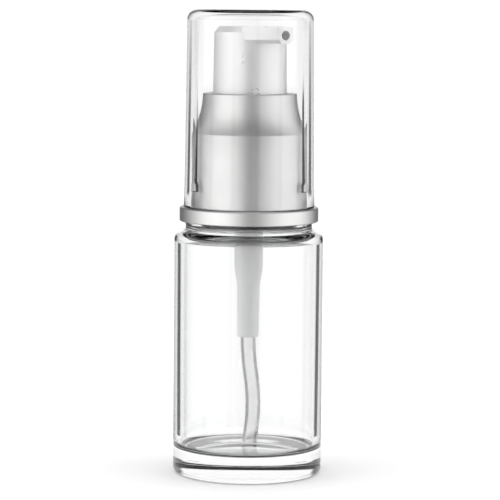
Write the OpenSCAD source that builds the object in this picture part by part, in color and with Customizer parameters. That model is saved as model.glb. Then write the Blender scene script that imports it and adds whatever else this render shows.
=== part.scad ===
// Foundation bottle: clear glass bottle, screw-on treatment pump with a dip tube,
// satin aluminium collar and clear overcap.
// Millimetres, +Z up. The origin is the centre of the base, and the spout points along -Y.

/* [Bottle] */
// Outside diameter of the glass body
bottle_d = 33; // [32:0.5:36]
// Thickness of the glass side wall
glass_wall = 1.5; // [1.2:0.1:1.8]
// Height of the glass floor inside, at its edge
floor_z = 5.6; // [4:0.2:7]
// Height of the shoulder's flat top
shoulder_z = 54; // [52:0.5:60]
// Diameter of the raised ring on the shoulder, which the collar surrounds
ring_d = 28; // [27.4:0.2:29]
// Diameter of the bore through the neck
neck_bore_d = 13; // [12.6:0.1:13.6]

/* [Neck thread] */
// Diameter of the neck between the threads
neck_d = 18; // [17.6:0.1:18.2]
// Diameter over the threads
thread_d = 19.9; // [19.5:0.1:20]
// Rise of the thread in one turn
thread_pitch = 3.175; // [3.1:0.025:3.3]
// Turns of thread on the neck and in the closure
thread_turns = 1.1; // [0.9:0.1:1.1]

/* [Collar] */
// Diameter of the collar's cylinder, over which the overcap slides
collar_d = 25.5; // [25.4:0.1:25.6]
// Diameter of the collar's base flange
flange_d = 30.7; // [30.2:0.1:31.2]
// Diameter of the collar's top
collar_top_d = 20.7; // [20.3:0.1:21.2]
// Thickness of the aluminium
shell_t = 0.45; // [0.35:0.05:0.5]

/* [Overcap] */
// Outside diameter at the closed end
cap_top_d = 27.85; // [27.7:0.05:28.2]
// Outside diameter at the open end
cap_mouth_d = 28.75; // [28.6:0.05:29.2]
// Wall thickness
cap_wall = 1.05; // [0.9:0.05:1.1]
// Number of grip ribs inside the mouth
cap_ribs = 3; // [3:1:6]

/* [Pump] */
// Diameter of the actuator at its open end
actuator_d = 16.4; // [16:0.1:16.5]
// Reach of the spout from the axis
spout_reach = 12.3; // [11:0.1:12.4]
// Diameter of the spout's outlet
outlet_d = 2.1; // [1.2:0.1:2.2]
// Bore of the pump chamber
chamber_d = 5; // [4.9:0.05:5.1]
// Travel of the actuator
stroke = 5; // [3:0.5:5]
// Outside diameter of the dip tube
tube_d = 3.3; // [3:0.1:3.3]
// Bore of the dip tube
tube_bore_d = 2.2; // [1.6:0.1:2.3]
// Turns of wire in the return spring
spring_turns = 10; // [8:1:11]

/* [Hidden] */
$fn = 96;

touch_gap = 0.05;     // between faces that bear on each other in different bodies
running_gap = 0.05;   // around shafts that slide in a bore

// Heights of the neck, from the shoulder up
ring_z = shoulder_z + 3;
neck_top_z = shoulder_z + 13;

// Glass body
bottle_r = bottle_d / 2;
inner_r = bottle_r - glass_wall;
heel_r = 1.2;
bearing_in_r = 11.5;
push_up = 0.8;
floor_dome = 0.4;
floor_corner_r = 1.6;
ceiling_z = shoulder_z - 1.6;
ceiling_corner_r = 1;
throat_r = 1.6;
ring_r = ring_d / 2;
ring_wall = 1.9;
ring_inner_r = ring_r - ring_wall;
ring_ceiling_z = ring_z - ring_wall;
ring_step_r = 0.6;            // rounds the edge where the body's hollow steps in to the ring's
neck_r = neck_d / 2;
neck_bore_r = neck_bore_d / 2;
lip_r = 0.5;
root_r = 0.4;
shoulder_corner_r = bottle_r - ring_r - root_r - 0.05;

// Threads: the closure's ridge runs half a pitch under the glass one
thread_r = thread_d / 2;
thread_foot_z = ring_z + 3.1;
thread_step = 10;             // degrees between thread sections
thread_run_out = 30;          // degrees over which a thread dies away at each end
thread_sink = 0.6;            // how far a thread's root is buried in its wall
closure_bore_r = thread_r + 0.3;
closure_crest_r = neck_r + 0.3;

// Collar, from the shoulder up
flange_z = shoulder_z + 2.1;
flange_top_z = flange_z + 3.2;
collar_neck_z = flange_top_z + 16;
collar_top_z = collar_neck_z + 9;
flange_r = flange_d / 2;
collar_r = collar_d / 2;
collar_top_r = collar_top_d / 2;
flange_edge_r = 0.55;
collar_edge_r = 0.35;

// Pump stack, from the neck's top face up
gasket_t = 1;
housing_flange_z = neck_top_z + gasket_t;
housing_flange_t = 1.2;
closure_plate_z = housing_flange_z + housing_flange_t + touch_gap;
closure_plate_t = 1.5;
turret_z = housing_flange_z + 5.2;
lock_flange_t = 1;
lock_top_z = turret_z + lock_flange_t;
turret_r = 5.9;
turret_bore_r = 4.9;
housing_flange_r = 8.9;

// Pump chamber, from the neck's top face down
chamber_r = chamber_d / 2;
chamber_top_z = neck_top_z - 1.5;
spring_seat_z = neck_top_z - 22.8;
ball_cage_r = 1.75;
ball_seat_z = spring_seat_z - 4.4;
throat_bore_r = 0.7;
tube_stop_z = ball_seat_z - 2.3;
housing_foot_z = tube_stop_z - 7.1;
nib_z = spring_seat_z - 2.3;
nib_h = 0.8;
nib_w = 0.6;
nib_reach = 0.8;

// Moving pump parts
stem_r = 1.9;
stem_bore_r = 1.15;
stem_shoulder_r = 2.3;
rod_r = 1.1;
poppet_r = 2.05;
poppet_z = neck_top_z - 9.5;
piston_z = poppet_z + 1.52;
piston_h = 4.98;
piston_slip = 0.6;
stem_z = piston_z + piston_h + piston_slip + touch_gap;
stem_shoulder_z = stem_z + 2.5;
rod_top_z = stem_z + 5.85;
ball_r = 1.19;
ball_z = ball_seat_z;

// Spring
wire_d = 0.45;
coil_r = chamber_r - 0.55;
spring_ring_turn = 14;        // sections of wire in one turn
wire_sides = 8;

// Actuator, from the collar's top up
actuator_top_z = collar_top_z + 14.65;
skirt_z = collar_top_z - 5.8;
actuator_r = actuator_d / 2;
actuator_top_r = actuator_r - 0.25;
actuator_wall = 1;
actuator_chamfer = [1.1, 1.3];
spout_h = 3.65;
outlet_z = actuator_top_z - 1.9;
crown_z = actuator_top_z - spout_h - 0.1;
spout_root = [5, 6.05];       // distance from the axis and half width where the spout leaves the head
spout_half_w = 1.9;
spout_bevel = 0.8;
boss_r = 3;
boss_z = lock_top_z + stroke + 0.8;
stem_top_z = crown_z - 0.7;

// Overcap
cap_z = flange_top_z + 0.1;
cap_top_z = actuator_top_z + 3.6;
cap_top_t = 1.1;
cap_corner_r = 2.2;
cap_inner_corner_r = 1.3;
cap_bead_h = 4.2;             // height of the slightly thicker rim
cap_bead_t = 0.1;
rib_z = cap_z + 3.5;
rib_h = 3.5;
rib_bend_r = 2.8;
rib_turn = 174;               // heading of the first rib, in degrees from +X

// Dip tube: [bend radius, angle] of each arc below the housing, positive towards tube_heading
tube_r = tube_d / 2;
tube_heading = -36;           // heading of the tube's bow, in degrees from +X
tube_arcs = [[60, 9], [-42, 17]];
tube_floor_gap = 0.35;
tube_sides = 24;
tube_step = 3;                // degrees between sections of the bends

// Points of an arc about c, from angle a0 to a1
function arc(c, r, a0, a1, n = 8) =
    [for (i = [0:n]) c + r * [cos(a0 + (a1 - a0) * i / n), sin(a0 + (a1 - a0) * i / n)]];

// Points of a shallow dome from [0, z + rise] out to [r, z]
function dome(r, z, rise, n = 6) =
    let (big_r = (r * r + rise * rise) / (2 * rise))
    [for (i = [0:n]) [r * i / n, z + rise - big_r + sqrt(big_r * big_r - pow(r * i / n, 2))]];

function reversed(list) = [for (i = [len(list) - 1:-1:0]) list[i]];

// Faces of the walls between sections of a sweep, whose points start at index first
function walls(count, sides, first = 0) =
    [for (i = [0:count - 2]) for (j = [0:sides - 1])
        let (a = first + i * sides + j, b = first + i * sides + (j + 1) % sides)
        each [[a, b, b + sides], [a, b + sides, a + sides]]];

// A closed solid through a list of sections, each a loop of 3-D points
module sweep(sections) {
    sides = len(sections[0]);
    last = (len(sections) - 1) * sides;
    start = [for (j = [1:sides - 2]) [0, j + 1, j]];
    end = [for (j = [1:sides - 2]) [last, last + j, last + j + 1]];
    polyhedron(points = [for (s = sections) each s], faces = concat(walls(len(sections), sides), start, end));
}

// A pipe with open ends, through matching lists of outer and inner sections
module pipe(outer, inner) {
    sides = len(outer[0]);
    count = len(outer);
    last = (count - 1) * sides;
    in = count * sides;
    start = [for (j = [0:sides - 1])
        let (a = j, b = (j + 1) % sides)
        each [[b, a, a + in], [b, a + in, b + in]]];
    end = [for (j = [0:sides - 1])
        let (a = last + j, b = last + (j + 1) % sides)
        each [[a, b, b + in], [a, b + in, a + in]]];
    polyhedron(points = [for (s = concat(outer, inner)) each s],
        faces = concat(walls(count, sides), [for (f = walls(count, sides, in)) reversed(f)], start, end));
}

// One thread ridge: base_r is inside the wall, crest_r is its top
module thread(base_r, crest_r, wall_r, foot_z, foot_w, crest_w) {
    steps = ceil(thread_turns * 360 / thread_step);
    reach = sign(crest_r - wall_r);
    sweep([for (i = [0:steps])
        let (
            a = i * thread_step,
            end = min(a, steps * thread_step - a) / thread_run_out,
            height = min(1, 0.15 + end),
            crest = wall_r + (crest_r - wall_r) * height,
            z = foot_z + thread_pitch * a / 360,
            loop = [[base_r, z - foot_w / 2], [crest, z - crest_w / 2],
                [crest, z + crest_w / 2], [base_r, z + foot_w / 2]]
        )
        [for (p = reach > 0 ? loop : reversed(loop)) [p[0] * cos(a), p[0] * sin(a), p[1]]]]);
}

module ring(outer_r, inner_r, z, h) {
    translate([0, 0, z])
        difference() {
            cylinder(r = outer_r, h = h);
            translate([0, 0, -1]) cylinder(r = inner_r, h = h + 2);
        }
}

module glass_bottle() {
    outside = concat(
        dome(bearing_in_r, 0, push_up),
        arc([bottle_r - heel_r, heel_r], heel_r, -90, 0),
        arc([bottle_r - shoulder_corner_r, shoulder_z - shoulder_corner_r], shoulder_corner_r, 0, 90),
        arc([ring_r + root_r, shoulder_z + root_r], root_r, 270, 180, 4),
        arc([ring_r - lip_r, ring_z - lip_r], lip_r, 0, 90, 4),
        arc([neck_r + root_r, ring_z + root_r], root_r, 270, 180, 4),
        arc([neck_r - lip_r, neck_top_z - lip_r], lip_r, 0, 90, 4));
    inside = concat(
        arc([neck_bore_r + lip_r, neck_top_z - lip_r], lip_r, 90, 180, 4),
        arc([neck_bore_r + throat_r, ring_ceiling_z + throat_r], throat_r, 180, 270),
        arc([ring_inner_r - ceiling_corner_r, ring_ceiling_z - ceiling_corner_r],
            ceiling_corner_r, 90, 0, 5),
        arc([ring_inner_r + ring_step_r, ceiling_z + ring_step_r], ring_step_r, 180, 270, 4),
        arc([inner_r - ceiling_corner_r, ceiling_z - ceiling_corner_r], ceiling_corner_r, 90, 0, 5),
        arc([inner_r - floor_corner_r, floor_z + floor_corner_r], floor_corner_r, 0, -90, 6),
        reversed(dome(inner_r - floor_corner_r - 0.1, floor_z, floor_dome)));
    color([0.92, 0.96, 0.96, 0.3])
        union() {
            rotate_extrude() polygon(concat(outside, inside));
            thread(neck_r - thread_sink, thread_r, neck_r, thread_foot_z, 1.7, 0.7);
        }
}

// Radius of the overcap's outer wall at height z
function cap_r(z) =
    (cap_mouth_d + (cap_top_d - cap_mouth_d) * (z - cap_z) / (cap_top_z - cap_z)) / 2;

module overcap() {
    bead_z = cap_z + cap_bead_h;
    inner_top_z = cap_top_z - cap_top_t;
    mouth_r = cap_r(cap_z);
    shell = concat(
        [[0, cap_top_z]],
        reversed(arc([cap_r(cap_top_z) - cap_corner_r, cap_top_z - cap_corner_r], cap_corner_r, 0, 90)),
        [[cap_r(bead_z), bead_z], [cap_r(bead_z) + cap_bead_t, bead_z - 0.6],
            [mouth_r + cap_bead_t, cap_z + 0.2], [mouth_r + cap_bead_t - 0.2, cap_z],
            [mouth_r - cap_wall + 0.3, cap_z], [mouth_r - cap_wall, cap_z + 0.5]],
        arc([cap_r(inner_top_z) - cap_wall - cap_inner_corner_r, inner_top_z - cap_inner_corner_r],
            cap_inner_corner_r, 0, 90, 6),
        [[0, inner_top_z]]);
    color([0.95, 0.96, 0.97, 0.25])
        union() {
            rotate_extrude() polygon(shell);
            for (i = [0:cap_ribs - 1])
                rotate(rib_turn + i * 360 / cap_ribs) grip_rib();
        }
}

// A bullet-shaped rib inside the overcap's mouth, which rubs on the collar's cylinder
module grip_rib() {
    rib_axis = collar_r + touch_gap + rib_bend_r;
    intersection() {
        translate([rib_axis, 0, rib_z]) {
            cylinder(r = rib_bend_r, h = rib_h * 0.45);
            translate([0, 0, rib_h * 0.45])
                cylinder(r1 = rib_bend_r, r2 = rib_bend_r - 0.65, h = rib_h * 0.55);
        }
        ring(cap_r(rib_z + rib_h) - cap_wall / 2, collar_r - 1, rib_z - 1, rib_h + 2);
    }
}

// The collar's outline from its flange up to its top, on a wall by inwards of the outside
function waist(by) =
    let (
        rise = collar_top_z - collar_neck_z,
        step = collar_r - collar_top_r,
        sweep_r = (rise * rise + step * step) / (2 * step),
        sweep_a = asin(rise / sweep_r)
    )
    reversed(arc([collar_top_r + sweep_r, collar_top_z], sweep_r, 180, 180 + sweep_a, 10))
        + [for (i = [0:10]) [-by, 0]];

module collar_shell() {
    outside = concat(
        [[flange_r - 0.15, flange_z], [flange_r, flange_z + 0.15]],
        arc([flange_r - flange_edge_r, flange_top_z - flange_edge_r], flange_edge_r, 0, 90, 5),
        [[collar_r + 0.15, flange_top_z], [collar_r, flange_top_z + 0.15]],
        [for (p = waist(0)) if (p[1] < collar_top_z - collar_edge_r) p],
        arc([collar_top_r - collar_edge_r, collar_top_z - collar_edge_r], collar_edge_r, 0, 90, 4),
        [[actuator_r + 0.4, collar_top_z]]);
    inside = concat(
        [[actuator_r + 0.4, collar_top_z - shell_t], [collar_top_r - shell_t, collar_top_z - shell_t]],
        reversed([for (p = waist(shell_t)) if (p[1] < collar_top_z - shell_t) p]),
        [[collar_r - shell_t, flange_top_z - shell_t], [flange_r - shell_t, flange_top_z - shell_t],
            [flange_r - shell_t, flange_z]]);
    color([0.78, 0.78, 0.78])
        rotate_extrude() polygon(concat(outside, inside));
}

module screw_closure() {
    skirt_r = collar_r - shell_t - touch_gap;
    skirt_foot_z = ring_z + 0.5;
    chimney_in_r = actuator_r + 0.3;
    chimney_r = collar_top_r - shell_t - 0.2;
    chimney_top_z = collar_top_z - shell_t - touch_gap;
    plate_top_z = closure_plate_z + closure_plate_t;
    rib_top_z = collar_neck_z - 0.5;
    closure_ribs = 8;
    color([0.93, 0.93, 0.92])
        union() {
            ring(skirt_r, closure_bore_r, skirt_foot_z, closure_plate_z - skirt_foot_z + 0.3);
            ring(skirt_r, turret_r + 0.15, closure_plate_z, closure_plate_t);
            ring(chimney_r, chimney_in_r, plate_top_z - 0.3, chimney_top_z - plate_top_z + 0.3);
            for (i = [0:closure_ribs - 1])
                rotate(i * 360 / closure_ribs)
                    translate([chimney_r - 0.4, -0.4, plate_top_z - 0.3])
                        cube([skirt_r - chimney_r + 0.3, 0.8, rib_top_z - plate_top_z + 0.3]);
            thread(closure_bore_r + thread_sink, closure_crest_r, closure_bore_r,
                thread_foot_z - thread_pitch / 2, 1.5, 0.6);
        }
}

module neck_gasket() {
    color([0.95, 0.95, 0.95])
        ring(housing_flange_r, turret_r + 0.1, neck_top_z, gasket_t);
}

module pump_housing() {
    outside = [
        [tube_r + 0.67, housing_foot_z], [tube_r + 0.7, housing_foot_z + 0.15],
        [2.54, spring_seat_z - 2], [3.13, spring_seat_z + 1.4], [3.2, chamber_top_z - 2],
        [turret_r, chamber_top_z - 1], [turret_r, housing_flange_z],
        [housing_flange_r, housing_flange_z], [housing_flange_r, housing_flange_z + housing_flange_t],
        [turret_r, housing_flange_z + housing_flange_t], [turret_r, turret_z]];
    inside = [
        [turret_bore_r, turret_z], [turret_bore_r, chamber_top_z],
        [chamber_r + 0.2, chamber_top_z], [chamber_r, chamber_top_z - 0.3],
        [chamber_r, spring_seat_z], [ball_cage_r, spring_seat_z],
        [ball_cage_r, ball_seat_z], [throat_bore_r, ball_seat_z - ball_cage_r + throat_bore_r],
        [throat_bore_r, tube_stop_z], [tube_r + 0.02, tube_stop_z],
        [tube_r + 0.02, housing_foot_z + 0.3], [tube_r + 0.15, housing_foot_z]];
    color([0.86, 0.86, 0.85, 0.8])
        union() {
            rotate_extrude() polygon(concat(outside, inside));
            for (i = [0:2])
                rotate(i * 120)
                    translate([ball_cage_r - nib_reach, -nib_w / 2, nib_z])
                        cube([nib_reach + 0.3, nib_w, nib_h]);
        }
}

module lock_ring() {
    guide_z = stem_shoulder_z + touch_gap;
    plug_z = chamber_top_z + touch_gap;
    outline = [
        [stem_r + running_gap, guide_z], [stem_shoulder_r + 0.15, guide_z],
        [stem_shoulder_r + 0.15, plug_z], [turret_bore_r - 0.25, plug_z],
        [turret_bore_r - 0.02, plug_z + 0.5], [turret_bore_r - 0.02, turret_z],
        [turret_r, turret_z], [turret_r, lock_top_z - 0.3], [turret_r - 0.3, lock_top_z],
        [stem_r + running_gap, lock_top_z]];
    color([0.93, 0.93, 0.92])
        rotate_extrude() polygon(outline);
}

module upper_stem() {
    outline = [
        [stem_bore_r, stem_z], [stem_shoulder_r, stem_z], [stem_shoulder_r, stem_shoulder_z],
        [stem_r, stem_shoulder_z], [stem_r, stem_top_z - 0.4], [stem_r - 0.3, stem_top_z],
        [stem_bore_r, stem_top_z]];
    color([0.93, 0.93, 0.92])
        rotate_extrude() polygon(outline);
}

module plunger_rod() {
    flute_w = 0.5;
    flute_depth = 0.45;
    plug_r = stem_bore_r - 0.02;
    plug_z = stem_z + 0.25;
    outline = [
        [0, poppet_z], [poppet_r, poppet_z], [poppet_r, poppet_z + 0.7],
        [rod_r, poppet_z + 0.7 + poppet_r - rod_r], [rod_r, plug_z], [plug_r, plug_z],
        [plug_r, rod_top_z - 0.3], [plug_r - 0.3, rod_top_z], [0, rod_top_z]];
    color([0.93, 0.93, 0.92])
        difference() {
            rotate_extrude() polygon(outline);
            for (i = [0:3])
                rotate(i * 90)
                    translate([plug_r - flute_depth, -flute_w / 2, stem_z - 1])
                        cube([1, flute_w, rod_top_z - stem_z + 2]);
        }
}

module piston() {
    hub_bore_r = rod_r + 0.18;
    hub_r = 1.75;
    lip_r = chamber_r - 0.04;
    top_z = piston_z + piston_h;
    outline = [
        [hub_bore_r, piston_z], [hub_r, piston_z], [poppet_r + 0.07, piston_z + 0.4],
        [poppet_r + 0.07, piston_z - 0.7], [lip_r, piston_z - 0.7], [lip_r, piston_z + 0.3],
        [hub_r + 0.25, piston_z + 1.3], [hub_r + 0.25, top_z - 1.8], [lip_r, top_z - 0.8],
        [lip_r, top_z], [lip_r - 0.25, top_z], [hub_r, top_z - 1], [hub_r, top_z],
        [hub_bore_r, top_z]];
    color([0.9, 0.9, 0.88])
        rotate_extrude() polygon(outline);
}

// Height of the wire's centre after t turns: a closed turn at each end, open turns between
function spring_rise(t) =
    let (
        low = spring_seat_z + wire_d / 2,
        high = poppet_z - wire_d / 2,
        closed = wire_d * 1.05,
        open = (high - low - 2 * closed) / (spring_turns - 2)
    )
    t < 1 ? low + closed * t
    : t < spring_turns - 1 ? low + closed + open * (t - 1)
    : high - closed * (spring_turns - t);

module return_spring() {
    steps = spring_turns * spring_ring_turn;
    color([0.75, 0.76, 0.78])
        sweep([for (i = [0:steps])
            let (a = 360 * i / spring_ring_turn, z = spring_rise(i / spring_ring_turn))
            [for (j = [0:wire_sides - 1])
                let (
                    b = 360 * j / wire_sides,
                    r = coil_r + wire_d / 2 * cos(b)
                )
                [r * cos(a), r * sin(a), z + wire_d / 2 * sin(b)]]]);
}

module check_ball() {
    color([0.8, 0.81, 0.83])
        translate([0, 0, ball_z]) sphere(r = ball_r);
}

// Stations [x, z, heading] along the tube's arcs, in the plane of its bow. The heading is from straight down.
function arc_stations(x, z, a, i = 0) =
    i == len(tube_arcs) ? []
    : let (
        r = tube_arcs[i][0],
        turn = sign(r) * tube_arcs[i][1],
        centre = [x + r * cos(a), z + r * sin(a)],
        steps = ceil(abs(turn) / tube_step),
        part = [for (k = [1:steps])
            let (b = a + turn * k / steps)
            [centre[0] - r * cos(b), centre[1] - r * sin(b), b]],
        end = part[steps - 1]
    )
    concat(part, arc_stations(end[0], end[1], end[2], i + 1));

// The tube's circular sections of radius r
function tube_rings(stations, r) =
    [for (s = stations)
        [for (j = [0:tube_sides - 1])
            let (c = 360 * j / tube_sides)
            [s[0] + r * cos(c) * cos(s[2]), r * sin(c), s[1] + r * cos(c) * sin(s[2])]]];

module dip_tube() {
    bend_z = housing_foot_z + 0.6;
    arcs = arc_stations(0, bend_z, 0);
    bent = arcs[len(arcs) - 1];
    end_z = floor_z + floor_dome + tube_floor_gap + tube_r * sin(abs(bent[2]));
    end = [bent[0] + (bent[1] - end_z) * tan(bent[2]), end_z, bent[2]];
    stations = concat([[0, tube_stop_z, 0], [0, bend_z, 0]], arcs, [end]);
    color([0.9, 0.9, 0.9, 0.6])
        rotate(tube_heading)
            pipe(tube_rings(stations, tube_r), tube_rings(stations, tube_bore_d / 2));
}

// The spout's cross-section at a distance from the axis, facing along -Y
module spout_section(reach, half_w) {
    low_z = actuator_top_z - spout_h;
    translate([0, -reach, 0])
        rotate([90, 0, 0])
            linear_extrude(0.01)
                polygon([[-half_w, actuator_top_z], [half_w, actuator_top_z],
                    [half_w, low_z + spout_bevel], [half_w - spout_bevel, low_z],
                    [spout_bevel - half_w, low_z], [-half_w, low_z + spout_bevel]]);
}

module actuator() {
    inner_r = actuator_r - actuator_wall;
    head = [
        [0, actuator_top_z], [actuator_top_r - actuator_chamfer[0], actuator_top_z],
        [actuator_top_r, actuator_top_z - actuator_chamfer[1]],
        [actuator_r, skirt_z + 0.2], [actuator_r - 0.2, skirt_z], [inner_r, skirt_z],
        [inner_r - 0.2, crown_z], [boss_r + 0.1, crown_z], [boss_r, boss_z],
        [stem_r + 0.3, boss_z], [stem_r + 0.02, boss_z + 0.4], [stem_r + 0.02, stem_top_z + 0.1],
        [0, stem_top_z + 0.1]];
    color([0.97, 0.97, 0.97])
        difference() {
            union() {
                rotate_extrude() polygon(head);
                hull() {
                    spout_section(spout_root[0], spout_root[1]);
                    spout_section(spout_reach - 0.01, spout_half_w);
                }
            }
            translate([0, 0, stem_top_z]) cylinder(d = outlet_d, h = outlet_z - stem_top_z);
            translate([0, 0, outlet_z]) rotate([90, 0, 0]) cylinder(d = outlet_d, h = spout_reach + 1);
        }
}

glass_bottle();
overcap();
collar_shell();
screw_closure();
neck_gasket();
pump_housing();
lock_ring();
upper_stem();
plunger_rod();
piston();
return_spring();
check_ball();
dip_tube();
actuator();
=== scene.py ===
"""Foundation bottle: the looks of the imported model, under a plain soft studio light."""
import math

import bmesh
import bpy
from mathutils import Matrix, Vector


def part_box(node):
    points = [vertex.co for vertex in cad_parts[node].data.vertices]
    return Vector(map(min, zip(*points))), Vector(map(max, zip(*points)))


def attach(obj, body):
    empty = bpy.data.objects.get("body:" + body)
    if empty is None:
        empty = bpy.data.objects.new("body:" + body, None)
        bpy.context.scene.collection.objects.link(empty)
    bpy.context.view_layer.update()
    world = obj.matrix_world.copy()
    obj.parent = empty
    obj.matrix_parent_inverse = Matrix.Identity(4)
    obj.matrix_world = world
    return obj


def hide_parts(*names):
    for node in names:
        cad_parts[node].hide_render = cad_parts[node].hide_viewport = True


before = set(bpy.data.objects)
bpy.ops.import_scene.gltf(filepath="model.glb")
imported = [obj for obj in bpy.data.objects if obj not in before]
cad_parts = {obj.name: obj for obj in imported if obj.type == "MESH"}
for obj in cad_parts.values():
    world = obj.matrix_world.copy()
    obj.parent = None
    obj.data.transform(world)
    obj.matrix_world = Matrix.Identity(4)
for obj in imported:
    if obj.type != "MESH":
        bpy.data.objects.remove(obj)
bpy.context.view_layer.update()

MM = 0.001
# Sides of a turned piece
SEGMENTS = 192
# Edges that bend by more degrees than this stay sharp
SHARP_ANGLE = 32.0
# In mm: points closer together than WELD are one, and a point within ON_AXIS of the axis is on it
WELD = 1e-5
ON_AXIS = 1e-6

# Where the camera stands, in degrees and mm: the spout is to its right
VIEW_AZIMUTH = -37.0
CAMERA_DISTANCE = 525.0
CAMERA_HEIGHT = 104.0
CAMERA_TILT = 5.92
CAMERA_ROLL = 0.5
CAMERA_SIDESTEP = 0.3
LENS_MM = 171.6
SENSOR_MM = 36.0
NEAR_CLIP_M = 0.01


# ---------------------------------------------------------------- mesh helpers

def top(node):
    """Height of a CAD node's highest point, in mm."""
    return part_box(node)[1].z / MM


def bottom(node):
    """Height of a CAD node's lowest point, in mm."""
    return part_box(node)[0].z / MM


def radius(node):
    """Largest reach of a CAD node along +X, in mm."""
    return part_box(node)[1].x / MM


def arc(centre, r, start, end, steps=10):
    """Points of an arc about centre, from start to end, in degrees."""
    points = []
    for i in range(steps + 1):
        angle = math.radians(start + (end - start) * i / steps)
        points.append((centre[0] + r * math.cos(angle), centre[1] + r * math.sin(angle)))
    return points


def dome(r, z, rise, steps=12):
    """Points of a shallow spherical dome from its crown out to radius r at height z."""
    ball = (r * r + rise * rise) / (2 * rise)
    points = []
    for i in range(steps + 1):
        x = r * i / steps
        points.append((x, z + rise - ball + math.sqrt(ball * ball - x * x)))
    return points


def shade(mesh):
    """Smooth shading, with the real corners kept sharp."""
    mesh.shade_smooth()
    mesh.set_sharp_from_angle(angle=math.radians(SHARP_ANGLE))


def link_object(name, mesh):
    """A mesh's object, in the scene."""
    obj = bpy.data.objects.new(name, mesh)
    bpy.context.scene.collection.objects.link(obj)
    return obj


def new_object(name, bm):
    """A smooth-shaded object from a bmesh in mm."""
    bmesh.ops.remove_doubles(bm, verts=bm.verts, dist=WELD)
    bmesh.ops.recalc_face_normals(bm, faces=bm.faces)
    bmesh.ops.scale(bm, vec=(MM, MM, MM), verts=bm.verts)
    mesh = bpy.data.meshes.new(name)
    bm.to_mesh(mesh)
    bm.free()
    shade(mesh)
    return link_object(name, mesh)


def lathe(name, outline):
    """A closed solid of revolution about Z from an outline of (radius, height) points in mm."""
    bm = bmesh.new()
    rings = []
    for r, z in outline:
        if r < ON_AXIS:
            rings.append([bm.verts.new((0, 0, z))])
            continue
        ring = []
        for i in range(SEGMENTS):
            angle = 2 * math.pi * i / SEGMENTS
            ring.append(bm.verts.new((r * math.cos(angle), r * math.sin(angle), z)))
        rings.append(ring)
    count = len(rings)
    for k in range(count):
        a, b = rings[k], rings[(k + 1) % count]
        if len(a) == 1 and len(b) == 1:
            continue
        for i in range(SEGMENTS):
            j = (i + 1) % SEGMENTS
            corners = [a[i % len(a)], a[j % len(a)], b[j % len(b)], b[i % len(b)]]
            bm.faces.new(list(dict.fromkeys(corners)))
    return new_object(name, bm)


def loft(name, rings):
    """A closed solid through matching rings of 3-D points in mm, with flat ends."""
    bm = bmesh.new()
    sides = len(rings[0])
    loops = [[bm.verts.new(point) for point in ring] for ring in rings]
    for low, high in zip(loops, loops[1:]):
        for i in range(sides):
            j = (i + 1) % sides
            bm.faces.new((low[i], low[j], high[j], high[i]))
    bm.faces.new(loops[0][::-1])
    bm.faces.new(loops[-1])
    return new_object(name, bm)


def unite(obj, parts):
    """Joins closed solids into obj as one solid, and removes them."""
    for part in parts:
        modifier = obj.modifiers.new("join", "BOOLEAN")
        modifier.operation = "UNION"
        modifier.solver = "EXACT"
        modifier.object = part
    depsgraph = bpy.context.evaluated_depsgraph_get()
    mesh = bpy.data.meshes.new_from_object(obj.evaluated_get(depsgraph))
    obj.modifiers.clear()
    obj.data = mesh
    for part in parts:
        bpy.data.objects.remove(part)
    shade(mesh)


def finish_piece(obj, node, body, material):
    """Stands obj in for a CAD node: gives it its material, hides the node and puts obj on its body."""
    obj.data.materials.append(material)
    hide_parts(node)
    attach(obj, body)


# ------------------------------------------------------------------- materials

GLASS_IOR = 1.5
PLASTIC_IOR = 1.49
# Most of a noise's values lie between these
NOISE_LOW, NOISE_HIGH = 0.3, 0.7


def new_material(name):
    """An empty node material: its tree, its shader and a texture coordinate in object space."""
    material = bpy.data.materials.new(name)
    material.use_nodes = True
    tree = material.node_tree
    shader = tree.nodes["Principled BSDF"]
    coordinate = tree.nodes.new("ShaderNodeTexCoord")
    return material, tree, shader, coordinate.outputs["Object"]


def noise(tree, coordinate, size_mm, detail=3.0, stretch=(1, 1, 1)):
    """Noise whose features are about size_mm across; stretch squeezes it along each axis."""
    mapping = tree.nodes.new("ShaderNodeMapping")
    mapping.inputs["Scale"].default_value = stretch
    texture = tree.nodes.new("ShaderNodeTexNoise")
    texture.inputs["Scale"].default_value = 1.0 / (size_mm * MM)
    texture.inputs["Detail"].default_value = detail
    tree.links.new(coordinate, mapping.inputs["Vector"])
    tree.links.new(mapping.outputs["Vector"], texture.inputs["Vector"])
    return texture.outputs["Fac"]


def spread(tree, value, low, high):
    """Maps a noise's middle range to low..high."""
    node = tree.nodes.new("ShaderNodeMapRange")
    node.inputs["From Min"].default_value = NOISE_LOW
    node.inputs["From Max"].default_value = NOISE_HIGH
    node.inputs["To Min"].default_value = low
    node.inputs["To Max"].default_value = high
    tree.links.new(value, node.inputs["Value"])
    return node.outputs["Result"]


def tint(tree, value, dark, light):
    """A colour that wanders between dark and light with a value."""
    ramp = tree.nodes.new("ShaderNodeValToRGB")
    ramp.color_ramp.elements[0].position = NOISE_LOW
    ramp.color_ramp.elements[0].color = (*dark, 1)
    ramp.color_ramp.elements[1].position = NOISE_HIGH
    ramp.color_ramp.elements[1].color = (*light, 1)
    tree.links.new(value, ramp.inputs["Fac"])
    return ramp.outputs["Color"]


def bump(tree, shader, value, height_mm):
    """Raises the surface by a value, at most height_mm."""
    node = tree.nodes.new("ShaderNodeBump")
    node.inputs["Strength"].default_value = 1.0
    node.inputs["Distance"].default_value = height_mm * MM
    tree.links.new(value, node.inputs["Height"])
    tree.links.new(node.outputs["Normal"], shader.inputs["Normal"])


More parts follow.
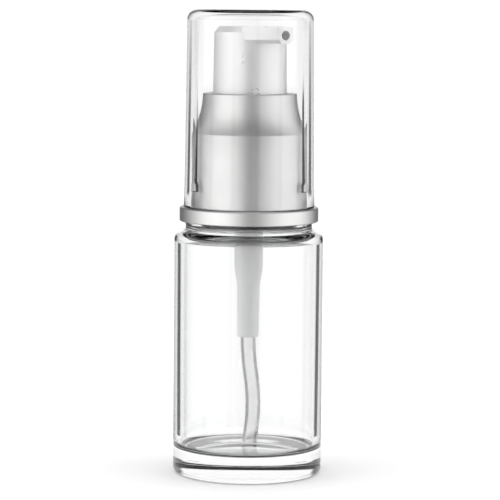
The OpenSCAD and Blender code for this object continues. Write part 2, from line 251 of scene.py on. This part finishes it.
def clear_material(name, ior, waviness_mm, color):
    """Clear glass or plastic, whose surface wanders a little as a moulded one does."""
    wave_size, wave_stretch = 14.0, (1, 1, 0.35)
    material, tree, shader, coordinate = new_material(name)
    broad = noise(tree, coordinate, wave_size, detail=1.0, stretch=wave_stretch)
    tree.links.new(tint(tree, broad, color, (1, 1, 1)), shader.inputs["Base Color"])
    shader.inputs["Roughness"].default_value = 0.0
    shader.inputs["IOR"].default_value = ior
    shader.inputs["Transmission Weight"].default_value = 1.0
    bump(tree, shader, broad, waviness_mm)
    return material


def plastic_material(name, dark, light, roughness, subsurface, grain_mm=0.25, pearl=0.0):
    """Moulded plastic: light scatters in it, and its skin has a fine grain and uneven gloss.
    Pearl is its share of metallic sheen."""
    cloud_size, uneven, grain_height = 5.0, 0.05, 0.004
    material, tree, shader, coordinate = new_material(name)
    cloud = noise(tree, coordinate, cloud_size)
    tree.links.new(tint(tree, cloud, dark, light), shader.inputs["Base Color"])
    tree.links.new(spread(tree, cloud, roughness - uneven, roughness + uneven), shader.inputs["Roughness"])
    shader.inputs["IOR"].default_value = PLASTIC_IOR
    shader.inputs["Subsurface Weight"].default_value = subsurface
    shader.inputs["Subsurface Radius"].default_value = (1.0, 0.95, 0.9)
    shader.inputs["Subsurface Scale"].default_value = MM
    shader.inputs["Metallic"].default_value = pearl
    bump(tree, shader, noise(tree, coordinate, grain_mm, detail=2.0), grain_height)
    return material


def translucent_material(name, color, roughness, transmission, depth_mm):
    """Natural polypropylene or polyethylene: milky, but light still passes."""
    cloud_size, cloud_stretch, darkest, uneven = 3.0, (1, 1, 0.3), 0.96, 0.04
    grain_size, grain_stretch, grain_height = 0.6, (1, 1, 0.2), 0.005
    material, tree, shader, coordinate = new_material(name)
    cloud = noise(tree, coordinate, cloud_size, detail=2.0, stretch=cloud_stretch)
    milky = tuple(darkest * c for c in color)
    tree.links.new(tint(tree, cloud, milky, color), shader.inputs["Base Color"])
    tree.links.new(spread(tree, cloud, roughness - uneven, roughness + uneven), shader.inputs["Roughness"])
    shader.inputs["IOR"].default_value = PLASTIC_IOR
    shader.inputs["Transmission Weight"].default_value = transmission
    shader.inputs["Subsurface Weight"].default_value = 1.0
    shader.inputs["Subsurface Radius"].default_value = (1.0, 1.0, 1.0)
    shader.inputs["Subsurface Scale"].default_value = depth_mm * MM
    grain = noise(tree, coordinate, grain_size, detail=2.0, stretch=grain_stretch)
    bump(tree, shader, grain, grain_height)
    return material


def metal_material(name, dark, light, roughness, grain_mm, grain_height_mm, stretch=(1, 1, 1)):
    """Metal with a fine surface grain, and gloss that varies with it."""
    cloud_size, uneven = 6.0, 0.03
    material, tree, shader, coordinate = new_material(name)
    cloud = noise(tree, coordinate, cloud_size, detail=2.0)
    grain = noise(tree, coordinate, grain_mm, stretch=stretch)
    tree.links.new(tint(tree, cloud, dark, light), shader.inputs["Base Color"])
    tree.links.new(spread(tree, grain, roughness - uneven, roughness + uneven), shader.inputs["Roughness"])
    shader.inputs["Metallic"].default_value = 1.0
    bump(tree, shader, grain, grain_height_mm)
    return material


# The darkest and lightest tone of each opaque material
WHITE = (0.90, 0.90, 0.895), (0.94, 0.94, 0.935)
PUMP_GREY = (0.78, 0.78, 0.77), (0.84, 0.84, 0.83)
PISTON_GREY = (0.74, 0.75, 0.73), (0.80, 0.81, 0.79)
FOAM_GREY = (0.70, 0.70, 0.69), (0.80, 0.80, 0.79)
ALUMINIUM = (0.58, 0.58, 0.575), (0.62, 0.62, 0.615)
SPRING_STEEL = (0.50, 0.51, 0.52), (0.60, 0.61, 0.62)
BALL_STEEL = (0.62, 0.63, 0.64), (0.68, 0.69, 0.70)

glass = clear_material("clear_glass", GLASS_IOR, waviness_mm=0.012, color=(0.985, 0.995, 0.99))
acrylic = clear_material("clear_acrylic", PLASTIC_IOR, waviness_mm=0.004, color=(0.99, 0.99, 0.995))
aluminium = metal_material(
    "satin_aluminium", *ALUMINIUM, roughness=0.36, grain_mm=0.12, grain_height_mm=0.002,
)
white_plastic = plastic_material("white_plastic", *WHITE, roughness=0.36, subsurface=0.5)
pearl_plastic = plastic_material("pearl_plastic", *WHITE, roughness=0.32, subsurface=0.3, pearl=0.38)
pump_plastic = plastic_material("pump_plastic", *PUMP_GREY, roughness=0.42, subsurface=0.3)
piston_plastic = plastic_material("piston_plastic", *PISTON_GREY, roughness=0.45, subsurface=0.5)
gasket_foam = plastic_material("gasket_foam", *FOAM_GREY, roughness=0.75, subsurface=0.4, grain_mm=0.08)
housing_plastic = translucent_material(
    "natural_plastic", (0.99, 0.99, 0.985), roughness=0.36, transmission=0.08, depth_mm=0.6,
)
tube_plastic = translucent_material(
    "tube_plastic", (1.0, 1.0, 1.0), roughness=0.16, transmission=0.94, depth_mm=3.0,
)
spring_steel = metal_material(
    "spring_steel", *SPRING_STEEL, roughness=0.22, grain_mm=0.1, grain_height_mm=0.001, stretch=(1, 1, 6),
)
ball_steel = metal_material(
    "ball_steel", *BALL_STEEL, roughness=0.08, grain_mm=0.2, grain_height_mm=0.0005,
)


# ---------------------------------------------------------------- glass bottle

# All in mm
SHOULDER_Z = 54.0
RING_HEIGHT = 3.0
RING_TOP_Z = SHOULDER_Z + RING_HEIGHT
BODY_R = radius("glass_bottle")
BODY_WALL = 1.5
INNER_R = BODY_R - BODY_WALL
RING_R = 14.0
RING_WALL = 1.9
RING_INNER_R = RING_R - RING_WALL
NECK_R = 9.0
NECK_BORE_R = 6.5
FLOOR_Z = 5.6
SHOULDER_WALL = 1.6
CEILING_Z = SHOULDER_Z - SHOULDER_WALL
RING_CEILING_Z = RING_TOP_Z - RING_WALL
THREAD_R = 9.95
THREAD_RISE = 3.1
THREAD_FOOT_Z = RING_TOP_Z + THREAD_RISE
THREAD_PITCH = 3.175
THREAD_TURNS = 1.1


def bottle_outline():
    """The bottle's section: from the hollow under its base up the outside, and down the inside."""
    hollow_r, hollow = 11.5, 0.8
    heel, root, lip, ledge = 1.2, 0.4, 0.5, 0.05
    shoulder = BODY_R - RING_R - root - ledge
    neck_top = top("glass_bottle")
    outside = (
        dome(hollow_r, 0.0, hollow)
        + arc((BODY_R - heel, heel), heel, -90, 0, 14)
        + arc((BODY_R - shoulder, SHOULDER_Z - shoulder), shoulder, 0, 90, 14)
        + arc((RING_R + root, SHOULDER_Z + root), root, 270, 180, 6)
        + arc((RING_R - lip, RING_TOP_Z - lip), lip, 0, 90, 6)
        + arc((NECK_R + root, RING_TOP_Z + root), root, 270, 180, 6)
        + arc((NECK_R - lip, neck_top - lip), lip, 0, 90, 6)
    )
    throat, ceiling, step, corner = 1.6, 1.0, 0.6, 1.6
    crown, crown_gap = 0.4, 0.1
    inside = (
        arc((NECK_BORE_R + lip, neck_top - lip), lip, 90, 180, 6)
        + arc((NECK_BORE_R + throat, RING_CEILING_Z + throat), throat, 180, 270, 10)
        + arc((RING_INNER_R - ceiling, RING_CEILING_Z - ceiling), ceiling, 90, 0, 8)
        + arc((RING_INNER_R + step, CEILING_Z + step), step, 180, 270, 8)
        + arc((INNER_R - ceiling, CEILING_Z - ceiling), ceiling, 90, 0, 8)
        + arc((INNER_R - corner, FLOOR_Z + corner), corner, 0, -90, 10)
        + dome(INNER_R - corner - crown_gap, FLOOR_Z, crown)[::-1]
    )
    return outside + inside


def neck_thread():
    """The thread's ridge: a rounded section that climbs round the neck and dies away at its ends."""
    # Heights from the ridge's middle, and depths below its crest. None is the root, inside the neck
    section = [
        (-0.85, None), (-0.40, 0.2), (-0.28, 0.05), (-0.12, 0.0),
        (0.12, 0.0), (0.28, 0.05), (0.40, 0.2), (0.85, None),
    ]
    root = NECK_R - 0.6
    # At its ends the ridge has end_share of its height, and it gains the rest at 1 per run_out degrees
    run_out, end_share, step = 30.0, 0.15, 5
    turn = round(THREAD_TURNS * 360)
    rings = []
    for a in range(0, turn + step, step):
        height = min(1.0, end_share + min(a, turn + step - a) / run_out)
        crest = NECK_R + (THREAD_R - NECK_R) * height
        z = THREAD_FOOT_Z + THREAD_PITCH * a / 360
        angle = math.radians(a)
        ring = []
        for dz, depth in section:
            r = root if depth is None else crest - depth
            ring.append((r * math.cos(angle), r * math.sin(angle), z + dz))
        rings.append(ring)
    return loft("neck_thread", rings)


bottle = lathe("bottle_glass", bottle_outline())
unite(bottle, [neck_thread()])
finish_piece(bottle, "glass_bottle", "bottle", glass)


# --------------------------------------------------------------------- overcap

CAP_MOUTH_R = 14.375
CAP_TOP_R = 13.925
CAP_WALL = 1.05
CAP_TOP_THICKNESS = 1.1


def cap_radius(z):
    """Radius of the overcap's outer wall at a height."""
    low, high = bottom("overcap"), top("overcap")
    return CAP_MOUTH_R + (CAP_TOP_R - CAP_MOUTH_R) * (z - low) / (high - low)


def overcap_outline():
    """The overcap's section: down the outside, with the slight bead round its mouth, and up inside."""
    low, high = bottom("overcap"), top("overcap")
    ceiling = high - CAP_TOP_THICKNESS
    corner, inner_corner, lip, inner_lip = 2.2, 1.3, 0.2, 0.3
    bead_top, bead_slope, bead = low + 4.2, 0.6, 0.1
    inner_r = cap_radius(ceiling) - CAP_WALL
    outside = (
        [(0.0, high)]
        + arc((cap_radius(high) - corner, high - corner), corner, 90, 0, 16)
        + [(cap_radius(bead_top), bead_top), (cap_radius(bead_top) + bead, bead_top - bead_slope)]
        + arc((CAP_MOUTH_R + bead - lip, low + lip), lip, 0, -90, 5)
    )
    inside = (
        arc((CAP_MOUTH_R - CAP_WALL + inner_lip, low + inner_lip), inner_lip, 270, 180, 5)
        + arc((inner_r - inner_corner, ceiling - inner_corner), inner_corner, 0, 90, 12)
        + [(0.0, ceiling)]
    )
    return outside + inside


# The ribs inside the mouth: how far their feet are above it, their height, the radius of their
# face, its nearest reach to the cap's axis, and their headings in degrees
RIB_FOOT = 3.5
RIB_HEIGHT = 3.5
RIB_BEND_R = 2.8
RIB_REACH_R = 12.8
RIB_AXIS_R = RIB_REACH_R + RIB_BEND_R
RIB_HEADINGS = (174, 294, 54)
# Levels as shares of the height: the face is straight up to RIB_SHOULDER, then narrows to the tip
RIB_LEVELS = (0.0, 0.03, 0.45, 0.52, 0.6, 0.7, 0.8, 0.9, 1.0)
RIB_SHOULDER = 0.45
RIB_NARROWING = 0.65
RIB_FOOT_BEVEL = 0.1
RIB_HALF_SIDES = 8


def grip_rib(heading):
    """A bullet-shaped rib inside the mouth: part of an upright cylinder that narrows at its top."""
    foot = bottom("overcap") + RIB_FOOT
    back_r = cap_radius(foot + RIB_HEIGHT) - CAP_WALL / 2
    turn = Matrix.Rotation(math.radians(heading), 3, "Z")
    rings = []
    for share in RIB_LEVELS:
        bend = RIB_BEND_R - RIB_NARROWING * max(0.0, (share - RIB_SHOULDER) / (1 - RIB_SHOULDER))
        if share == 0.0:
            bend -= RIB_FOOT_BEVEL
        half_angle = math.acos((RIB_AXIS_R ** 2 + bend ** 2 - back_r ** 2) / (2 * RIB_AXIS_R * bend))
        ring = []
        for i in range(2 * RIB_HALF_SIDES + 1):
            t = half_angle * (i / RIB_HALF_SIDES - 1)
            x, y = RIB_AXIS_R - bend * math.cos(t), bend * math.sin(t)
            ring.append(turn @ Vector((x, y, foot + RIB_HEIGHT * share)))
        rings.append(ring)
    return loft("grip_rib", rings)


overcap = lathe("overcap_shell", overcap_outline())
unite(overcap, [grip_rib(heading) for heading in RIB_HEADINGS])
finish_piece(overcap, "overcap", "overcap", acrylic)


# ---------------------------------------------------------------- collar shell

def collar_outline():
    """The collar's section: flange, cylinder, the waist's hollow sweep up to the rim, and the inside."""
    low, high = bottom("collar_shell"), top("collar_shell")
    flange_r = radius("collar_shell")
    cylinder_r, top_r, opening_r, wall = 12.75, 10.35, 8.6, 0.45
    flange_height, cylinder_height = 3.2, 16.0
    bevel, flange_edge, rim_edge = 0.15, 0.55, 0.35
    flange_top = low + flange_height
    waist_z = flange_top + cylinder_height
    step, rise = cylinder_r - top_r, high - waist_z
    # The sweep is an arc that stands upright at the rim
    sweep = (rise * rise + step * step) / (2 * step)
    turn = math.degrees(math.asin(rise / sweep))
    rim = math.degrees(math.asin(rim_edge / sweep))
    centre = (top_r + sweep, high)

    def wall_line(inset, end):
        """The sweep, moved in by inset, from the waist to end degrees short of the rim."""
        return [(x - inset, z) for x, z in arc(centre, sweep, 180 + turn, 180 + end, 24)]

    outside = (
        [(flange_r - bevel, low), (flange_r, low + bevel)]
        + arc((flange_r - flange_edge, flange_top - flange_edge), flange_edge, 0, 90, 8)
        + arc((cylinder_r + bevel, flange_top + bevel), bevel, 270, 180, 4)
        + wall_line(0, rim)
        + arc((top_r - rim_edge, high - rim_edge), rim_edge, 0, 90, 6)
        + [(opening_r, high)]
    )
    flange_ceiling = flange_top - wall
    inside = (
        [(opening_r, high - wall), (top_r - wall, high - wall)]
        + wall_line(wall, 2 * rim)[::-1]
        + [(cylinder_r - wall, flange_ceiling), (flange_r - wall, flange_ceiling), (flange_r - wall, low)]
    )
    return outside + inside


collar = lathe("collar_metal", collar_outline())
finish_piece(collar, "collar_shell", "closure", aluminium)


# --------------------------------------------- CAD nodes that keep their shape

KEPT = {
    "screw_closure": white_plastic,
    "neck_gasket": gasket_foam,
    "pump_housing": housing_plastic,
    "lock_ring": pump_plastic,
    "upper_stem": pump_plastic,
    "plunger_rod": pump_plastic,
    "piston": piston_plastic,
    "return_spring": spring_steel,
    "check_ball": ball_steel,
    "dip_tube": tube_plastic,
    "actuator": pearl_plastic,
}
for node, material in KEPT.items():
    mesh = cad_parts[node].data
    mesh.materials.clear()
    mesh.materials.append(material)
    shade(mesh)


# ---------------------------------------------------------- floor, light, camera

# Radii in metres: the floor that glass and metal pick up, and the whole floor
NEAR_FLOOR_R = 0.045
FLOOR_R = 1.5
FLOOR_SIDES = 96


def floor_piece(name, inner, outer, material):
    """A flat ring of floor between two radii in metres, or a disc where inner is 0."""
    bm = bmesh.new()
    rings = []
    for r in (inner, outer):
        if r == 0:
            rings.append([bm.verts.new((0, 0, 0))])
            continue
        turns = [2 * math.pi * i / FLOOR_SIDES for i in range(FLOOR_SIDES)]
        rings.append([bm.verts.new((r * math.cos(t), r * math.sin(t), 0)) for t in turns])
    low, high = rings
    for i in range(FLOOR_SIDES):
        j = (i + 1) % FLOOR_SIDES
        corners = [low[i % len(low)], high[i], high[j], low[j % len(low)]]
        bm.faces.new(list(dict.fromkeys(corners)))
    mesh = bpy.data.meshes.new(name)
    bm.to_mesh(mesh)
    bm.free()
    mesh.materials.append(material)
    obj = link_object(name, mesh)
    return obj


def white_floor():
    """A table top by the bottle, and the floor round it, which glass and metal don't pick up."""
    material, _, shader, _ = new_material("floor_white")
    shader.inputs["Base Color"].default_value = (0.92, 0.92, 0.92, 1)
    shader.inputs["Roughness"].default_value = 0.8
    shader.inputs["Specular IOR Level"].default_value = 0.2
    floor_piece("floor_near", 0, NEAR_FLOOR_R, material)
    far = floor_piece("floor_far", NEAR_FLOOR_R, FLOOR_R, material)
    far.visible_transmission = False
    far.visible_glossy = False


# Brightness of what the camera sees directly behind the object
BACKDROP = 1.06
# Brightness of the room's wall by direction, in degrees from the camera's side of the object,
# positive to its right. As glass shows it: a backdrop with a dark flag to each side
LOW_WALL = [
    (-180, 0.98), (-153, 0.98), (-150, 0.03), (-140, 0.03), (-137, 1.0), (137, 1.0), (140, 0.03), (150, 0.03),
    (153, 0.98), (180, 0.98),
]
# Above the horizon the flags stand further round
HIGH_WALL = [
    (-180, 0.98), (-132, 0.98), (-126, 0.05), (-100, 0.05), (-94, 1.0), (94, 1.0), (100, 0.05), (126, 0.05),
    (132, 0.98), (180, 0.98),
]
# Narrow flags all round, clear of the backdrop, draw the glass's edges from other sides. In
# degrees: one flag's direction, their spacing, half widths of the dark and of its edge, and the
# directions over which they end. Their light is a share of the wall's
SIDE_FLAG = 14.5
SIDE_FLAG_SPACING = 45.0
SIDE_FLAG_HALF_WIDTH = (3.0, 5.0)
SIDE_FLAG_LIGHT = 0.12
SIDE_FLAG_END = (128.0, 133.0)
# The wall as metal reflects it
METAL_WALL = [
    (-180, 1.0), (-168, 1.0), (-160, 0.15), (-140, 0.15), (-121, 0.45), (-99, 0.95), (-82, 1.6), (-58, 1.95),
    (-34, 1.8), (-15, 1.1), (-3, 0.42), (9, 0.42), (21, 0.85), (34, 1.2), (47, 1.5), (67, 1.7), (91, 1.6),
    (109, 1.2), (130, 0.5), (140, 0.15), (160, 0.15), (168, 1.0), (180, 1.0),
]
# The wall as matt surfaces gather it
MATT_WALL = [
    (-180, 1.0), (-140, 1.0), (-115, 1.2), (-90, 2.1), (-60, 2.2), (-35, 1.0), (-12, 0.35), (14, 0.3),
    (35, 0.9), (60, 1.9), (95, 2.0), (120, 1.3), (140, 1.0), (180, 1.0),
]
# Heights are sines of the elevation: the horizon's blend, the fades and the ceiling's edge. The
# third number of a fade is the share of the wall's light left above it
HORIZON = (-0.03, 0.06)
WALL_FADE = (0.4, 0.75, 0.25)
BACKDROP_FADE = (0.7, 0.85, 0.4)
CEILING = (0.8, 0.9)
CEILING_LIGHT = 0.4
CEILING_LIGHT_ON_METAL = 1.0
CEILING_LIGHT_ON_MATT = 1.5


def studio_world():
    """A round room: bright behind the object, dark flags to the sides, softboxes near the camera."""
    world = bpy.data.worlds.new("studio")
    bpy.context.scene.world = world
    world.use_nodes = True
    tree = world.node_tree
    nodes, links = tree.nodes, tree.links
    background = nodes["Background"]

    def math_node(operation, a, b=None):
        node = nodes.new("ShaderNodeMath")
        node.operation = operation
        for socket, value in zip(node.inputs, (a, b)):
            if value is None:
                continue
            if isinstance(value, (int, float)):
                socket.default_value = value
            else:
                links.new(value, socket)
        return node.outputs[0]

    coordinate = nodes.new("ShaderNodeTexCoord")
    turned = nodes.new("ShaderNodeVectorRotate")
    turned.rotation_type = "Z_AXIS"
    turned.inputs["Angle"].default_value = -math.radians(VIEW_AZIMUTH)
    links.new(coordinate.outputs["Generated"], turned.inputs["Vector"])
    parts = nodes.new("ShaderNodeSeparateXYZ")
    links.new(turned.outputs["Vector"], parts.inputs["Vector"])
    x, y, z = parts.outputs
    angle = math_node("ARCTAN2", x, math_node("MULTIPLY", y, -1.0))
    turn = math_node("ADD", math_node("DIVIDE", angle, 2 * math.pi), 0.5)

    def wall_light(stops):
        ramp = nodes.new("ShaderNodeValToRGB")
        elements = ramp.color_ramp.elements
        while len(elements) > 1:
            elements.remove(elements[-1])
        peak = max(value for degrees, value in stops)
        for i, (degrees, value) in enumerate(stops):
            place = (degrees + 180) / 360
            element = elements[0] if i == 0 else elements.new(place)
            element.position = place
            element.color = (value / peak, value / peak, value / peak, 1)
        links.new(turn, ramp.inputs["Fac"])
        return math_node("MULTIPLY", ramp.outputs["Color"], peak)

    def smooth_step(value, start, end, low, high):
        node = nodes.new("ShaderNodeMapRange")
        node.interpolation_type = "SMOOTHSTEP"
        for name, number in (("From Min", start), ("From Max", end), ("To Min", low), ("To Max", high)):
            node.inputs[name].default_value = number
        links.new(value, node.inputs["Value"])
        return node.outputs["Result"]

    def mix(factor, a, b):
        node = nodes.new("ShaderNodeMix")
        node.data_type = "FLOAT"
        for socket, value in zip((node.inputs["Factor"], node.inputs["A"], node.inputs["B"]), (factor, a, b)):
            if isinstance(value, float):
                socket.default_value = value
            else:
                links.new(value, socket)
        return node.outputs["Result"]

    def faded(wall, start, end, left):
        return math_node("MULTIPLY", wall, smooth_step(z, start, end, 1.0, left))

    light = nodes.new("ShaderNodeLightPath")
    glass_wall = mix(smooth_step(z, *HORIZON, 0.0, 1.0), wall_light(LOW_WALL), wall_light(HIGH_WALL))
    spacing = math.radians(SIDE_FLAG_SPACING)
    from_flag = math_node("PINGPONG", math_node("SUBTRACT", angle, math.radians(SIDE_FLAG)), spacing / 2)
    inner, outer = (math.radians(value) for value in SIDE_FLAG_HALF_WIDTH)
    flag = smooth_step(from_flag, inner, outer, SIDE_FLAG_LIGHT, 1.0)
    start, end = (math.radians(value) for value in SIDE_FLAG_END)
    aside = smooth_step(math_node("ABSOLUTE", angle), start, end, 1.0, 0.0)
    glass_wall = math_node("MULTIPLY", glass_wall, mix(aside, 1.0, flag))
    glass_wall = faded(glass_wall, *BACKDROP_FADE)
    metal_wall = faded(wall_light(METAL_WALL), *WALL_FADE)
    # A ray that was reflected and crossed one glass wall's two faces was reflected inside the glass
    inside_glass = math_node("COMPARE", light.outputs["Transmission Depth"], 2.0)
    reflected = math_node("MINIMUM", light.outputs["Glossy Depth"], 1.0)
    on_metal = math_node("MULTIPLY", reflected, math_node("SUBTRACT", 1.0, inside_glass))
    on_matt = math_node("MINIMUM", light.outputs["Diffuse Depth"], 1.0)
    wall = mix(on_matt, mix(on_metal, glass_wall, metal_wall), wall_light(MATT_WALL))
    ceiling = mix(on_matt, mix(on_metal, CEILING_LIGHT, CEILING_LIGHT_ON_METAL), CEILING_LIGHT_ON_MATT)
    room = mix(smooth_step(z, *CEILING, 0.0, 1.0), wall, ceiling)
    links.new(mix(light.outputs["Is Camera Ray"], room, BACKDROP), background.inputs["Strength"])
    background.inputs["Color"].default_value = (1, 1, 1, 1)


def camera():
    """The scene's camera, turned to the view's azimuth about the object's axis."""
    data = bpy.data.cameras.new("camera")
    data.lens = LENS_MM
    data.sensor_width = SENSOR_MM
    data.clip_start = NEAR_CLIP_M
    obj = bpy.data.objects.new("camera", data)
    bpy.context.scene.collection.objects.link(obj)
    turn = Matrix.Rotation(math.radians(VIEW_AZIMUTH), 4, "Z")
    tilt = Matrix.Rotation(math.radians(90 - CAMERA_TILT), 4, "X")
    roll = Matrix.Rotation(math.radians(CAMERA_ROLL), 4, "Z")
    place = Vector((CAMERA_SIDESTEP, -CAMERA_DISTANCE, CAMERA_HEIGHT)) * MM
    obj.matrix_world = turn @ Matrix.Translation(place) @ tilt @ roll
    bpy.context.scene.camera = obj


white_floor()
studio_world()
camera()
bpy.context.scene.view_settings.view_transform = "Standard"
bpy.context.scene.view_settings.look = "None"
